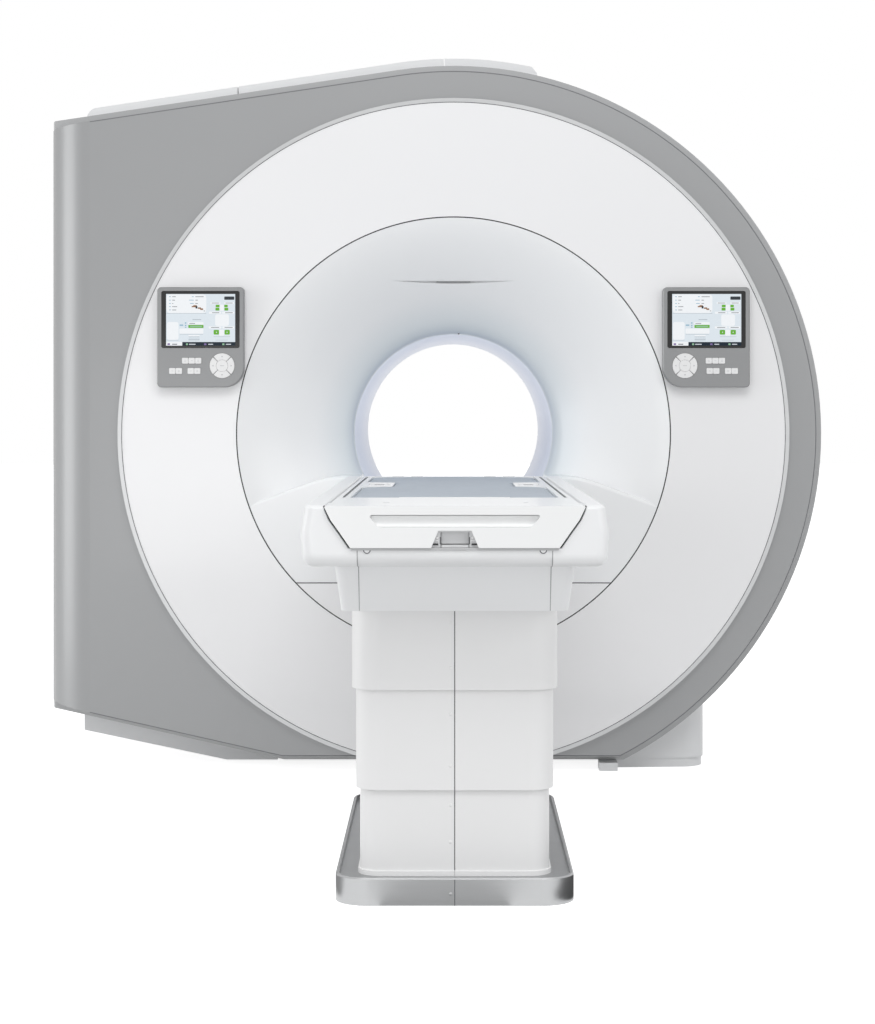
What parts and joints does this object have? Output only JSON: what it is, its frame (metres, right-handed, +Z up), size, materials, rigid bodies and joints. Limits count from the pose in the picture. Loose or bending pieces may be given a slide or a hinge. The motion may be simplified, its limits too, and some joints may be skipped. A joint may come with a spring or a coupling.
{
  "type": "mri scanner",
  "caption": "Wide-bore MRI scanner: round-fronted gantry with a flared bore, control panels with press keys, and a docked patient table on a telescopic lift.",
  "frame": {"origin": "on the floor directly below the isocentre, at the centre of the magnet's floor anchor holes", "axes": "+X to the right of someone facing the front, +Y away from them along the patient bore, +Z up"},
  "size_m": [2.687, 4.04, 2.488],
  "materials": {
    "shell_grey": "satin",
    "band_silver": "satin",
    "trim_silver": "satin",
    "disc_white": "gloss",
    "funnel_white": "gloss",
    "liner_white": "satin",
    "light_ring": "lit",
    "cover_white": "satin",
    "vessel_steel": "brushed",
    "coil_epoxy": "matt",
    "feet_steel": "satin",
    "panel_grey": "satin",
    "screen_glass": "gloss",
    "key_white": "satin",
    "tray_steel": "brushed",
    "column_white": "satin",
    "lift_aluminium": "satin",
    "table_white": "satin",
    "board_white": "satin",
    "mattress_blue": "matt",
    "lever_grey": "satin"
  },
  "bodies": {
    "gantry": {"front_shell": "shell_grey", "shell_edge_band": "band_silver", "disc_trim_ring": "trim_silver", "front_disc_cover": "disc_white", "bore_funnel": "funnel_white", "lower_inner_panel": "disc_white", "bore_liner": "liner_white", "bore_light_ring": "light_ring", "top_cover_left": "cover_white", "top_cover_middle": "cover_white", "top_cover_right": "cover_white", "left_side_cover": "cover_white", "right_side_cover": "cover_white", "rear_cover": "cover_white", "rear_funnel": "funnel_white", "foot_cover": "cover_white", "magnet_vessel": "vessel_steel", "gradient_coil": "coil_epoxy", "magnet_feet": "feet_steel", "base_tray": "tray_steel", "lower_column_cover": "column_white", "lift_guide": "lift_aluminium", "left_panel_housing": "panel_grey", "left_panel_screen": "screen_glass", "right_panel_housing": "panel_grey", "right_panel_screen": "screen_glass"},
    "table_middle": {"middle_column_cover": "column_white", "lift_stage": "lift_aluminium"},
    "table_frame": {"upper_column_cover": "column_white", "frame_cover": "table_white", "table_wings": "table_white", "table_front_panel": "table_white", "lift_mast": "lift_aluminium"},
    "tabletop": {"tabletop": "board_white", "mattress": "mattress_blue"},
    "release_lever": {"release_lever": "lever_grey"},
    "left_key_1": {"left_key_1": "key_white"},
    "left_key_2": {"left_key_2": "key_white"},
    "left_key_3": {"left_key_3": "key_white"},
    "left_key_4": {"left_key_4": "key_white"},
    "left_key_5": {"left_key_5": "key_white"},
    "left_key_6": {"left_key_6": "key_white"},
    "left_key_7": {"left_key_7": "key_white"},
    "right_key_1": {"right_key_1": "key_white"},
    "right_key_2": {"right_key_2": "key_white"},
    "right_key_3": {"right_key_3": "key_white"},
    "right_key_4": {"right_key_4": "key_white"},
    "right_key_5": {"right_key_5": "key_white"},
    "right_key_6": {"right_key_6": "key_white"},
    "right_key_7": {"right_key_7": "key_white"},
    "left_pad_up": {"left_pad_up": "key_white"},
    "left_pad_down": {"left_pad_down": "key_white"},
    "left_pad_left": {"left_pad_left": "key_white"},
    "left_pad_right": {"left_pad_right": "key_white"},
    "left_pad_centre": {"left_pad_centre": "key_white"},
    "right_pad_up": {"right_pad_up": "key_white"},
    "right_pad_down": {"right_pad_down": "key_white"},
    "right_pad_left": {"right_pad_left": "key_white"},
    "right_pad_right": {"right_pad_right": "key_white"},
    "right_pad_centre": {"right_pad_centre": "key_white"}
  },
  "joints": [
    {"name": "table_lift", "type": "slide", "parent": "gantry", "child": "table_frame", "axis": [0, 0, 1], "range_m": [-0.38, 0]},
    {"name": "middle_column_slide", "type": "slide", "parent": "gantry", "child": "table_middle", "axis": [0, 0, 1], "range_m": [-0.19, 0]},
    {"name": "tabletop_slide", "type": "slide", "parent": "table_frame", "child": "tabletop", "axis": [0, 1, 0], "range_m": [0, 1.7]},
    {"name": "lever_pull", "type": "hinge", "parent": "tabletop", "child": "release_lever", "pos_m": [0, -3.159, 0.95], "axis": [1, 0, 0], "range_deg": [-20, 0], "stiffness_Nm_per_rad": 1.5},
    {"name": "left_key_1_press", "type": "slide", "parent": "gantry", "child": "left_key_1", "axis": [0, 1, 0], "range_m": [0, 0.0015], "stiffness_N_per_m": 600},
    {"name": "left_key_2_press", "type": "slide", "parent": "gantry", "child": "left_key_2", "axis": [0, 1, 0], "range_m": [0, 0.0015], "stiffness_N_per_m": 600},
    {"name": "left_key_3_press", "type": "slide", "parent": "gantry", "child": "left_key_3", "axis": [0, 1, 0], "range_m": [0, 0.0015], "stiffness_N_per_m": 600},
    {"name": "left_key_4_press", "type": "slide", "parent": "gantry", "child": "left_key_4", "axis": [0, 1, 0], "range_m": [0, 0.0015], "stiffness_N_per_m": 600},
    {"name": "left_key_5_press", "type": "slide", "parent": "gantry", "child": "left_key_5", "axis": [0, 1, 0], "range_m": [0, 0.0015], "stiffness_N_per_m": 600},
    {"name": "left_key_6_press", "type": "slide", "parent": "gantry", "child": "left_key_6", "axis": [0, 1, 0], "range_m": [0, 0.0015], "stiffness_N_per_m": 600},
    {"name": "left_key_7_press", "type": "slide", "parent": "gantry", "child": "left_key_7", "axis": [0, 1, 0], "range_m": [0, 0.0015], "stiffness_N_per_m": 600},
    {"name": "right_key_1_press", "type": "slide", "parent": "gantry", "child": "right_key_1", "axis": [0, 1, 0], "range_m": [0, 0.0015], "stiffness_N_per_m": 600},
    {"name": "right_key_2_press", "type": "slide", "parent": "gantry", "child": "right_key_2", "axis": [0, 1, 0], "range_m": [0, 0.0015], "stiffness_N_per_m": 600},
    {"name": "right_key_3_press", "type": "slide", "parent": "gantry", "child": "right_key_3", "axis": [0, 1, 0], "range_m": [0, 0.0015], "stiffness_N_per_m": 600},
    {"name": "right_key_4_press", "type": "slide", "parent": "gantry", "child": "right_key_4", "axis": [0, 1, 0], "range_m": [0, 0.0015], "stiffness_N_per_m": 600},
    {"name": "right_key_5_press", "type": "slide", "parent": "gantry", "child": "right_key_5", "axis": [0, 1, 0], "range_m": [0, 0.0015], "stiffness_N_per_m": 600},
    {"name": "right_key_6_press", "type": "slide", "parent": "gantry", "child": "right_key_6", "axis": [0, 1, 0], "range_m": [0, 0.0015], "stiffness_N_per_m": 600},
    {"name": "right_key_7_press", "type": "slide", "parent": "gantry", "child": "right_key_7", "axis": [0, 1, 0], "range_m": [0, 0.0015], "stiffness_N_per_m": 600},
    {"name": "left_pad_up_press", "type": "slide", "parent": "gantry", "child": "left_pad_up", "axis": [0, 1, 0], "range_m": [0, 0.0015], "stiffness_N_per_m": 600},
    {"name": "left_pad_down_press", "type": "slide", "parent": "gantry", "child": "left_pad_down", "axis": [0, 1, 0], "range_m": [0, 0.0015], "stiffness_N_per_m": 600},
    {"name": "left_pad_left_press", "type": "slide", "parent": "gantry", "child": "left_pad_left", "axis": [0, 1, 0], "range_m": [0, 0.0015], "stiffness_N_per_m": 600},
    {"name": "left_pad_right_press", "type": "slide", "parent": "gantry", "child": "left_pad_right", "axis": [0, 1, 0], "range_m": [0, 0.0015], "stiffness_N_per_m": 600},
    {"name": "left_pad_centre_press", "type": "slide", "parent": "gantry", "child": "left_pad_centre", "axis": [0, 1, 0], "range_m": [0, 0.0015], "stiffness_N_per_m": 600},
    {"name": "right_pad_up_press", "type": "slide", "parent": "gantry", "child": "right_pad_up", "axis": [0, 1, 0], "range_m": [0, 0.0015], "stiffness_N_per_m": 600},
    {"name": "right_pad_down_press", "type": "slide", "parent": "gantry", "child": "right_pad_down", "axis": [0, 1, 0], "range_m": [0, 0.0015], "stiffness_N_per_m": 600},
    {"name": "right_pad_left_press", "type": "slide", "parent": "gantry", "child": "right_pad_left", "axis": [0, 1, 0], "range_m": [0, 0.0015], "stiffness_N_per_m": 600},
    {"name": "right_pad_right_press", "type": "slide", "parent": "gantry", "child": "right_pad_right", "axis": [0, 1, 0], "range_m": [0, 0.0015], "stiffness_N_per_m": 600},
    {"name": "right_pad_centre_press", "type": "slide", "parent": "gantry", "child": "right_pad_centre", "axis": [0, 1, 0], "range_m": [0, 0.0015], "stiffness_N_per_m": 600}
  ],
  "couplings": [
    {"joint": "middle_column_slide", "follows": "table_lift", "ratio": 0.5}
  ]
}
